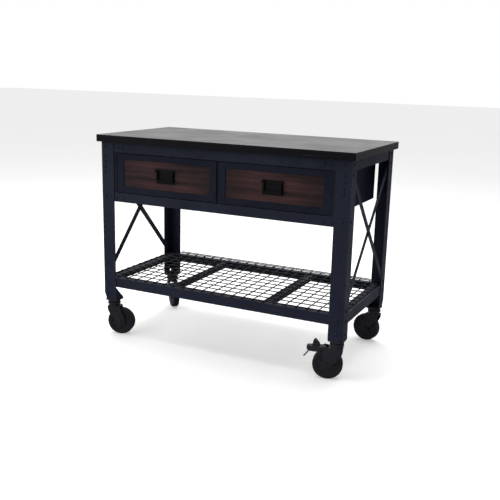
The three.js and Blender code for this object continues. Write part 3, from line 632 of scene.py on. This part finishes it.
class WORKBENCH_OT_stage(bpy.types.Operator):
    """Adds the pale floor, the soft lights, the surroundings and the camera"""
    bl_idname = "workbench.stage"
    bl_label = "Stage"

    CAMERA_PLACE = Vector((1.4922, -3.0121, 1.2347))
    CAMERA_TURN = math.radians(25.97)
    CAMERA_DIP = math.radians(13.53)
    CAMERA_ROLL = math.radians(-1.44)
    CAMERA_LENS = 53.4
    CAMERA_SENSOR = 36.0
    FLOOR_SIZE = 60.0
    # name, place, point aimed at, width, height, power
    LAMPS = (
        ("soft_above", (-0.4, 0.6, 3.6), (0.0, 0.0, 0.0), 4.2, 3.6, 150.0),
        ("soft_front_left", (-3.2, -3.4, 2.2), (0.0, 0.0, 0.5), 2.4, 2.4, 26.0),
    )

    def add_floor(self):
        bpy.ops.object.select_all(action="DESELECT")
        bpy.ops.mesh.primitive_plane_add(size=self.FLOOR_SIZE)
        floor = bpy.context.active_object
        floor.name = "floor"
        edit(floor)
        bpy.ops.mesh.subdivide(number_cuts=8)
        stop_editing()
        floor.data.materials.append(finish_named("pale_floor"))

    def add_world(self):
        world = bpy.data.worlds.new("studio")
        world.use_nodes = True
        tree = world.node_tree
        tree.nodes.clear()
        direction = add_node(tree, "TexCoord").outputs["Generated"]
        parts = add_node(tree, "SeparateXYZ", {0: direction}).outputs
        glow = remap(tree, parts["Y"], -0.9, 0.6, 0.45, 1.0)
        shade = remap(tree, parts["X"], -0.1, 0.7, 1.0, 0.22)
        glow = calculate(tree, "MULTIPLY", glow, shade)
        seen = add_node(tree, "LightPath").outputs["Is Camera Ray"]
        level = calculate(tree, "MAXIMUM", glow, seen)
        background = add_node(tree, "Background", {"Color": (1.0, 1.0, 1.0, 1.0), "Strength": level})
        output = tree.nodes.new("ShaderNodeOutputWorld")
        tree.links.new(background.outputs[0], output.inputs["Surface"])
        bpy.context.scene.world = world

    def add_lamps(self):
        for name, place, aim, width, height, power in self.LAMPS:
            lamp = bpy.data.lights.new(name, "AREA")
            lamp.shape = "RECTANGLE"
            lamp.size = width
            lamp.size_y = height
            lamp.energy = power
            holder = bpy.data.objects.new(name, lamp)
            bpy.context.scene.collection.objects.link(holder)
            facing = (Vector(aim) - Vector(place)).to_track_quat("-Z", "Y")
            holder.matrix_world = Matrix.Translation(place) @ facing.to_matrix().to_4x4()

    def add_camera(self):
        turn, dip, roll = self.CAMERA_TURN, self.CAMERA_DIP, self.CAMERA_ROLL
        ahead = Vector((-math.sin(turn) * math.cos(dip), math.cos(turn) * math.cos(dip), -math.sin(dip)))
        across = Vector((math.cos(turn), math.sin(turn), 0))
        above = across.cross(ahead)
        across, above = (across * math.cos(roll) - above * math.sin(roll),
                         across * math.sin(roll) + above * math.cos(roll))
        lens = bpy.data.cameras.new("camera")
        lens.lens = self.CAMERA_LENS
        lens.sensor_width = self.CAMERA_SENSOR
        camera = bpy.data.objects.new("camera", lens)
        bpy.context.scene.collection.objects.link(camera)
        turn_matrix = Matrix((across, above, -ahead)).transposed().to_4x4()
        camera.matrix_world = Matrix.Translation(self.CAMERA_PLACE) @ turn_matrix
        bpy.context.scene.camera = camera

    def execute(self, context):
        self.add_floor()
        self.add_world()
        self.add_lamps()
        self.add_camera()
        context.scene.view_settings.view_transform = "Standard"
        return {"FINISHED"}


class WORKBENCH_OT_worktop(bpy.types.Operator):
    """Adds the slab, with rounded corners and a fine joint under its top skin"""
    bl_idname = "workbench.worktop"
    bl_label = "Worktop"

    CORNER = 0.004
    SKIN = 0.004
    JOINT = 0.0007

    def execute(self, context):
        lowest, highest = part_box("worktop")
        bpy.ops.object.select_all(action="DESELECT")
        bpy.ops.mesh.primitive_cube_add(size=1.0, location=(lowest + highest) / 2,
                                        scale=highest - lowest)
        top = context.active_object
        top.name = "worktop_shown"
        place_in_mesh(top)
        edit(top)
        select_edges(top, lambda a, b: abs(a.z - b.z) > 0.5 * (highest.z - lowest.z))
        bpy.ops.mesh.bevel(offset=self.CORNER, segments=4, affect="EDGES")
        for height in (highest.z - self.SKIN, highest.z - self.SKIN - self.JOINT):
            bpy.ops.mesh.select_all(action="SELECT")
            bpy.ops.mesh.bisect(plane_co=(0, 0, height), plane_no=(0, 0, 1))
        middle_height = highest.z - self.SKIN - self.JOINT / 2
        select_faces(top, lambda middle, normal: abs(middle.z - middle_height) < self.JOINT / 4)
        bpy.ops.mesh.extrude_region_shrink_fatten(TRANSFORM_OT_shrink_fatten={"value": -self.JOINT})
        stop_editing()
        round_edges(top, context.scene.workbench_sizes.board_edge, segments=3, angle=50.0)
        finish_piece(top, "black_board", "bench", "worktop_board", "worktop")
        return {"FINISHED"}


class WORKBENCH_OT_frame(bpy.types.Operator):
    """Rounds the edges of the legs, rails, braces and shelf bars"""
    bl_idname = "workbench.frame"
    bl_label = "Frame"

    def execute(self, context):
        nodes = [f"leg_{end}_{side}" for end in ENDS for side in SIDES]
        nodes += [f"top_rail_{place}" for place in (*SIDES, *ENDS)]
        nodes += [f"shelf_rail_{place}" for place in (*SIDES, *ENDS)]
        nodes += [f"brace_{layer}_{side}" for layer in ("outer", "inner") for side in SIDES]
        nodes += ["drawer_rail", "shelf_bar_left", "shelf_bar_right"]
        for node in nodes:
            rounded_node(node, context.scene.workbench_sizes.plate_edge, "frame_paint", "bench",
                         "frame_steel")
        return {"FINISHED"}


class WORKBENCH_OT_frame_bolts(bpy.types.Operator):
    """Adds the round bolt heads along the legs and rails and the bolts through the braces"""
    bl_idname = "workbench.frame_bolts"
    bl_label = "Frame bolts"

    def leg_places(self):
        places = []
        for name, side in SIDES.items():
            for end in ENDS.values():
                x = side * LEG_BOLT_X[name]
                places += [(Vector((x, end * LEG_FACE_Y, z)), end * Y_AXIS) for z in LEG_BOLT_HEIGHTS]
                y = end * (LEG_FACE_Y - END_BOLT_INSET)
                places += [(Vector((side * LEG_FACE_X, y, z)), side * X_AXIS) for z in END_BOLT_HEIGHTS]
        return places

    def rail_places(self):
        height = low("top_rail_front").z + RAIL_BOLT_RISE
        rail = low("drawer_rail").z + DRAWER_RAIL_BOLT_RISE
        places = [(Vector((x, -RAIL_FACE_Y, height)), -Y_AXIS) for x in RAIL_BOLT_PLACES]
        places += [(Vector((x, RAIL_FACE_Y, height)), Y_AXIS) for x in RAIL_BOLT_PLACES]
        places += [(Vector((x, -RAIL_FACE_Y, rail)), -Y_AXIS) for x in DRAWER_RAIL_BOLT_PLACES]
        return places

    def execute(self, context):
        sizes = context.scene.workbench_sizes
        head = round_head(sizes.bolt_head, sizes.bolt_rise)
        heads = copies(head, self.leg_places() + self.rail_places(), "frame_bolt_heads")
        finish_piece(heads, "frame_paint", "bench", "frame_steel")
        remove(head)
        pin = round_head(1.2 * sizes.bolt_head, sizes.bolt_rise)
        middle = middle_of("brace_outer_right").z
        outer = high("brace_outer_right").x
        inner = low("brace_inner_right").x
        places = []
        for side in SIDES.values():
            places.append((Vector((side * outer, 0, middle)), side * X_AXIS))
            places.append((Vector((side * inner, 0, middle)), -side * X_AXIS))
        pins = copies(pin, places, "brace_bolt_heads")
        finish_piece(pins, "frame_paint", "bench", "frame_steel")
        remove(pin)
        return {"FINISHED"}


class WORKBENCH_OT_foot_bolts(bpy.types.Operator):
    """Adds the four bolts through each foot: round heads below the plate, nuts on the foot"""
    bl_idname = "workbench.foot_bolts"
    bl_label = "Foot bolts"

    def execute(self, context):
        sizes = context.scene.workbench_sizes
        nut = hex_nut(sizes.nut_size, sizes.nut_height)
        head = round_head(0.85 * sizes.nut_size, 0.6 * sizes.bolt_rise)
        for corner in CORNERS:
            middle = PLATE_MIDDLE[corner]
            plate_bottom = high(f"caster_plate_{corner}").z - CASTER_PLATE_WALL
            foot_top = LEG_FOOT + FOOT_WALL
            spots = [(middle.x + a * FOOT_BOLT_X, middle.y + b * FOOT_BOLT_Y)
                     for a in (-1, 1) for b in (-1, 1)]
            nuts = copies(nut, [(Vector((x, y, foot_top)), Z_AXIS) for x, y in spots],
                          f"foot_nuts_{corner}")
            heads = copies(head, [(Vector((x, y, plate_bottom)), -Z_AXIS) for x, y in spots],
                           f"foot_bolt_heads_{corner}")
            for piece in (nuts, heads):
                finish_piece(piece, "bolt_black", "bench", "bolt_steel")
        remove(nut)
        remove(head)
        return {"FINISHED"}


class WORKBENCH_OT_weld_beads(bpy.types.Operator):
    """Adds rippled weld beads where the foot gussets and the shelf bars are welded"""
    bl_idname = "workbench.weld_beads"
    bl_label = "Weld beads"

    RIPPLE = 0.0032
    END_PINCH = 0.55
    RING_PINCH = 0.82
    GUSSET_HEIGHT = 0.058
    GUSSET_REACH = 0.055
    OFF_WALL = 0.0035  # from a leg's or rail's face to the middle of a bead inside it
    OFF_FOOT = 0.0045
    UPRIGHT_START = 0.006
    RAIL_FLANGE = 0.038
    BAR_WELD = 0.03

    def bead(self, radius, start, end):
        """A half-sunk rod along a line, ringed and pinched into even ripples."""
        start, end = Vector(start), Vector(end)
        span = (end - start).length
        steps = max(4, round(span / self.RIPPLE))
        ring_gap = span / steps
        piece = cylinder("bead", 10, radius, span)
        edit(piece)
        for step in range(1, steps):
            bpy.ops.mesh.select_all(action="SELECT")
            bpy.ops.mesh.bisect(plane_co=(0, 0, step * ring_gap - span / 2), plane_no=(0, 0, 1))
        stop_editing()
        for vertex in piece.data.vertices:
            ring = round((vertex.co.z + span / 2) / ring_gap)
            pinch = self.END_PINCH if ring in (0, steps) else (1.0 if ring % 2 else self.RING_PINCH)
            vertex.co.x *= pinch
            vertex.co.y *= pinch
        piece.data.transform(Matrix.Translation((start + end) / 2) @ turned_to(end - start))
        smooth(piece, 60.0)
        return piece

    def lines(self):
        gusset_top = LEG_FOOT + self.GUSSET_HEIGHT
        on_foot = LEG_FOOT + self.OFF_FOOT
        for side in SIDES.values():
            for end in ENDS.values():
                inner = side * (LEG_INNER_X + self.OFF_WALL)
                wall = end * (LEG_FACE_Y - self.OFF_WALL)
                yield (inner, wall, LEG_FOOT + self.UPRIGHT_START), (inner, wall, gusset_top)
                foot = end * (LEG_FACE_Y - self.GUSSET_REACH)
                yield (inner, wall, on_foot), (inner, foot, on_foot)
        under = SHELF_TOP - self.OFF_WALL
        for side in SIDES:
            lowest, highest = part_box(f"shelf_bar_{side}")
            for end in ENDS.values():
                y = end * (RAIL_FACE_Y - self.RAIL_FLANGE)
                for x in (lowest.x, highest.x):
                    yield (x, y, under), (x, y + end * self.BAR_WELD, under)

    def execute(self, context):
        radius = context.scene.workbench_sizes.weld_radius
        beads = [self.bead(radius, start, end) for start, end in self.lines()]
        finish_piece(joined(beads, "weld_beads"), "frame_paint", "bench", "frame_steel")
        return {"FINISHED"}


class WORKBENCH_OT_wire_shelf(bpy.types.Operator):
    """Adds the welded sheet of round wires"""
    bl_idname = "workbench.wire_shelf"
    bl_label = "Wire shelf"

    WIRE = 0.005
    WIRE_END = 0.0012
    PITCH = 0.050
    LIP_SIDE_GAP = 0.004

    def wire(self, start, end):
        """A round wire with rounded ends between two points."""
        start, end = Vector(start), Vector(end)
        span = (end - start).length
        piece = cylinder("wire", 12, self.WIRE / 2, span)
        edit(piece)
        select_faces(piece, lambda middle, normal: abs(normal.z) > 0.9)
        bpy.ops.mesh.bevel(offset=self.WIRE_END, segments=2, affect="EDGES")
        stop_editing()
        piece.data.transform(Matrix.Translation((start + end) / 2) @ turned_to(end - start))
        return piece

    def rows(self, half):
        count = math.floor((2 * half - self.WIRE) / self.PITCH)
        return [(i - count / 2) * self.PITCH for i in range(count + 1)]

    def execute(self, context):
        lowest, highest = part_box("wire_shelf")
        half_x = highest.x
        front = -lowest.y
        lower = lowest.z + self.WIRE / 2
        upper = highest.z - self.WIRE / 2
        lip_x = LEG_INNER_X - self.LIP_SIDE_GAP
        wires = []
        for x in self.rows(half_x):
            rear = highest.y if abs(x) + self.WIRE / 2 < lip_x else front
            wires.append(self.wire((x, -front, lower), (x, rear, lower)))
        for y in self.rows(front):
            wires.append(self.wire((-half_x, y, upper), (half_x, y, upper)))
        edge = highest.y - self.WIRE / 2
        wires.append(self.wire((-lip_x, edge, upper), (lip_x, edge, upper)))
        shelf = joined(wires, "wire_shelf_shown")
        smooth(shelf, 50.0)
        finish_piece(shelf, "wire_coat", "bench", "shelf_wire", "wire_shelf")
        return {"FINISHED"}


class WORKBENCH_OT_drawer_case(bpy.types.Operator):
    """Rounds the folded drawer case and the sheet between the drawers"""
    bl_idname = "workbench.drawer_case"
    bl_label = "Drawer case"

    def execute(self, context):
        edge = context.scene.workbench_sizes.sheet_edge
        for node in ("drawer_case", "case_divider"):
            rounded_node(node, edge, "drawer_paint_with_painted_shade", "bench", "frame_steel")
        return {"FINISHED"}


# ---------------------------------------------------------------- operators: the drawers

class WORKBENCH_OT_drawer_fronts(bpy.types.Operator):
    """Adds each drawer's steel border and the wooden panel that it holds"""
    bl_idname = "workbench.drawer_fronts"
    bl_label = "Drawer fronts"

    def execute(self, context):
        edge = context.scene.workbench_sizes.plate_edge
        for drawer in DRAWERS:
            rounded_node(f"{drawer}_front_frame", edge, "drawer_paint_with_painted_shade", drawer, "frame_steel")
            rounded_node(f"{drawer}_wood_panel", 1.3 * edge, "stained_wood", drawer, "drawer_wood")
        return {"FINISHED"}


class WORKBENCH_OT_drawer_boxes(bpy.types.Operator):
    """Rounds each drawer's box and its slides"""
    bl_idname = "workbench.drawer_boxes"
    bl_label = "Drawer boxes and slides"

    def execute(self, context):
        edge = context.scene.workbench_sizes.sheet_edge
        for drawer in DRAWERS:
            rounded_node(f"{drawer}_box", edge, "drawer_paint_with_painted_shade", drawer, "drawer_steel")
            for side in SIDES:
                rounded_node(f"{drawer}_box_slide_{side}", 0.6 * edge, "slide_zinc", drawer, "slide_steel")
                rounded_node(f"{drawer}_case_slide_{side}", 0.6 * edge, "slide_zinc", "bench", "slide_steel")
        return {"FINISHED"}


class WORKBENCH_OT_pulls(bpy.types.Operator):
    """Adds each pull: the plate with its rivets and the swinging loop"""
    bl_idname = "workbench.pulls"
    bl_label = "Pulls"

    PLATE_EDGE = 0.0006
    LOOP_EDGE = 0.0019
    RIVET_RADIUS = 0.0028
    RIVET_RISE = 0.0016
    PLATE_WALL = 0.003
    RIVET_INSET = 0.0055
    RIVET_DROP = 0.020  # clear of the loop's hinge when it swings up

    def execute(self, context):
        rivet = round_head(self.RIVET_RADIUS, self.RIVET_RISE)
        for drawer in DRAWERS:
            rounded_node(f"{drawer}_pull_plate", self.PLATE_EDGE, "pull_bronze", drawer, "pull_metal")
            body = drawer.replace("_drawer", "_bail")
            rounded_node(f"{drawer}_bail", self.LOOP_EDGE, "pull_bronze", body, "pull_metal",
                         segments=3)
            lowest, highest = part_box(f"{drawer}_pull_plate")
            face = highest.y - self.PLATE_WALL
            spots = [(Vector((x, face, z)), -Y_AXIS)
                     for x in (lowest.x + self.RIVET_INSET, highest.x - self.RIVET_INSET)
                     for z in (lowest.z + self.RIVET_INSET, highest.z - self.RIVET_DROP)]
            rivets = copies(rivet, spots, f"{drawer}_pull_rivets")
            finish_piece(rivets, "pull_bronze", drawer, "pull_metal")
        remove(rivet)
        return {"FINISHED"}


# ---------------------------------------------------------------- operators: the casters

class WORKBENCH_OT_caster_metal(bpy.types.Operator):
    """Rounds the caster plates, forks, axle bolts and the brake pedal"""
    bl_idname = "workbench.caster_metal"
    bl_label = "Caster metalwork"

    def execute(self, context):
        edge = context.scene.workbench_sizes.plate_edge
        for corner in CORNERS:
            rounded_node(f"caster_plate_{corner}", edge, "caster_metal", "bench", "caster_steel")
            rounded_node(f"caster_fork_{corner}", edge, "caster_metal", f"fork_{corner}", "caster_steel")
            rounded_node(f"caster_axle_{corner}", 0.6 * edge, "bolt_black", f"fork_{corner}", "bolt_steel",
                         angle=25.0)
        for corner in BRAKED_CORNERS:
            rounded_node(f"brake_pedal_{corner}", 0.9 * edge, "caster_metal", f"pedal_{corner}",
                         "caster_steel")
        return {"FINISHED"}


class WORKBENCH_OT_wheels(bpy.types.Operator):
    """Adds each wheel: a rubber tyre on a moulded hub with spokes"""
    bl_idname = "workbench.wheels"
    bl_label = "Wheels"

    HALF_WIDTH = 0.016
    SHOULDER = 0.005
    RIM_RADIUS = 0.0475
    HUB_RADIUS = 0.017
    HUB_HALF_WIDTH = 0.0172
    WEB_HALF_WIDTH = 0.0095
    RIM_GAP = 0.0002
    RIM_DEPTH = 0.0018  # from the tyre's side down to the rim
    SPOKES = 6
    SPOKE_HALF_WIDTH = 0.0042
    SPOKE_RISE = 0.0032

    def select_sides(self, piece):
        select_faces(piece, lambda middle, normal: abs(normal.z) > 0.99 and middle.xy.length < 1e-4)

    def tyre(self, steps):
        piece = cylinder("tyre", steps, WHEEL_RADIUS, 2 * self.HALF_WIDTH)
        edit(piece)
        self.select_sides(piece)
        bpy.ops.mesh.bevel(offset=self.SHOULDER, segments=5, affect="EDGES")
        self.select_sides(piece)
        flat = WHEEL_RADIUS - self.SHOULDER
        bpy.ops.mesh.inset(thickness=0.002, depth=0.0)
        bpy.ops.mesh.inset(thickness=0.0012, depth=-0.0009)
        bpy.ops.mesh.inset(thickness=flat - 0.0032 - self.RIM_RADIUS - 0.0015, depth=0.0)
        bpy.ops.mesh.inset(thickness=0.0015, depth=-0.0012)
        bpy.ops.mesh.delete(type="FACE")
        rim = self.RIM_RADIUS + 0.0005
        select_edges(piece, lambda a, b: max(a.xy.length, b.xy.length) < rim)
        bpy.ops.mesh.bridge_edge_loops()
        bpy.ops.mesh.select_all(action="SELECT")
        bpy.ops.mesh.normals_make_consistent(inside=False)
        stop_editing()
        smooth(piece, 35.0)
        return piece

    def hub(self, steps):
        rim_edge = self.HALF_WIDTH - self.RIM_DEPTH
        piece = cylinder("hub", steps, self.RIM_RADIUS - self.RIM_GAP, 2 * rim_edge)
        edit(piece)
        self.select_sides(piece)
        bpy.ops.mesh.inset(thickness=0.0035, depth=0.0)
        bpy.ops.mesh.inset(thickness=0.0015, depth=self.WEB_HALF_WIDTH - rim_edge)
        web_outer = self.RIM_RADIUS - 0.0052
        bpy.ops.mesh.inset(thickness=web_outer - self.HUB_RADIUS - 0.0012, depth=0.0)
        bpy.ops.mesh.inset(thickness=0.0012, depth=self.HUB_HALF_WIDTH - self.WEB_HALF_WIDTH)
        bpy.ops.mesh.inset(thickness=0.0015, depth=0.0)
        bpy.ops.mesh.inset(thickness=0.0010, depth=-0.0012)
        pitch = 2 * math.pi / self.SPOKES
        web_middle = (web_outer + self.HUB_RADIUS) / 2

        def on_spoke(middle, normal):
            turn = math.atan2(middle.y, middle.x) % pitch
            near = min(turn, pitch - turn) * web_middle < self.SPOKE_HALF_WIDTH
            return abs(normal.z) > 0.99 and near and abs(middle.xy.length - web_middle) < 0.004

        select_faces(piece, on_spoke)
        bpy.ops.mesh.extrude_region_shrink_fatten(TRANSFORM_OT_shrink_fatten={"value": self.SPOKE_RISE})
        stop_editing()
        apply_modifier(piece, "BEVEL", width=0.0005, segments=2, limit_method="ANGLE",
                       angle_limit=math.radians(35.0))
        smooth(piece, 35.0)
        return piece

    def execute(self, context):
        steps = context.scene.workbench_sizes.wheel_steps
        parts = ((self.tyre(steps), "tyre", "tyre_rubber", "caster_tread"),
                 (self.hub(steps), "hub", "caster_metal", "caster_steel"))
        for corner in CORNERS:
            place = [(WHEEL_MIDDLE[corner], axle_direction(corner))]
            for master, kind, finish, slot in parts:
                piece = copies(master, place, f"{kind}_{corner}")
                finish_piece(piece, finish, f"wheel_{corner}", slot)
                if kind == "tyre":
                    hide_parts(f"caster_wheel_{corner}")
        for master, _, _, _ in parts:
            remove(master)
        return {"FINISHED"}


# ---------------------------------------------------------------- panel and registration

PIECE_OPERATORS = (
    WORKBENCH_OT_worktop,
    WORKBENCH_OT_frame,
    WORKBENCH_OT_frame_bolts,
    WORKBENCH_OT_foot_bolts,
    WORKBENCH_OT_weld_beads,
    WORKBENCH_OT_wire_shelf,
    WORKBENCH_OT_drawer_case,
    WORKBENCH_OT_drawer_fronts,
    WORKBENCH_OT_drawer_boxes,
    WORKBENCH_OT_pulls,
    WORKBENCH_OT_caster_metal,
    WORKBENCH_OT_wheels,
)


class WORKBENCH_PT_panel(bpy.types.Panel):
    """Lists the sizes, the colours and every piece of the workbench"""
    bl_idname = "WORKBENCH_PT_panel"
    bl_label = "Rolling workbench"
    bl_space_type = "VIEW_3D"
    bl_region_type = "UI"
    bl_category = "Workbench"

    def draw(self, context):
        for settings in (context.scene.workbench_sizes, context.scene.workbench_colours):
            box = self.layout.box()
            for name in settings.__annotations__:
                box.prop(settings, name)
        for operator in (WORKBENCH_OT_stage, *PIECE_OPERATORS):
            self.layout.operator(operator.bl_idname)


CLASSES = (WorkbenchSizes, WorkbenchColours, WORKBENCH_OT_stage, *PIECE_OPERATORS, WORKBENCH_PT_panel)


def register():
    for item in CLASSES:
        bpy.utils.register_class(item)
    bpy.types.Scene.workbench_sizes = PointerProperty(type=WorkbenchSizes)
    bpy.types.Scene.workbench_colours = PointerProperty(type=WorkbenchColours)


def unregister():
    del bpy.types.Scene.workbench_colours
    del bpy.types.Scene.workbench_sizes
    for item in reversed(CLASSES):
        bpy.utils.unregister_class(item)


def main():
    register()
    bpy.ops.workbench.stage()
    for operator in PIECE_OPERATORS:
        family, name = operator.bl_idname.split(".")
        getattr(getattr(bpy.ops, family), name)()


if __name__ == "__main__":
    main()
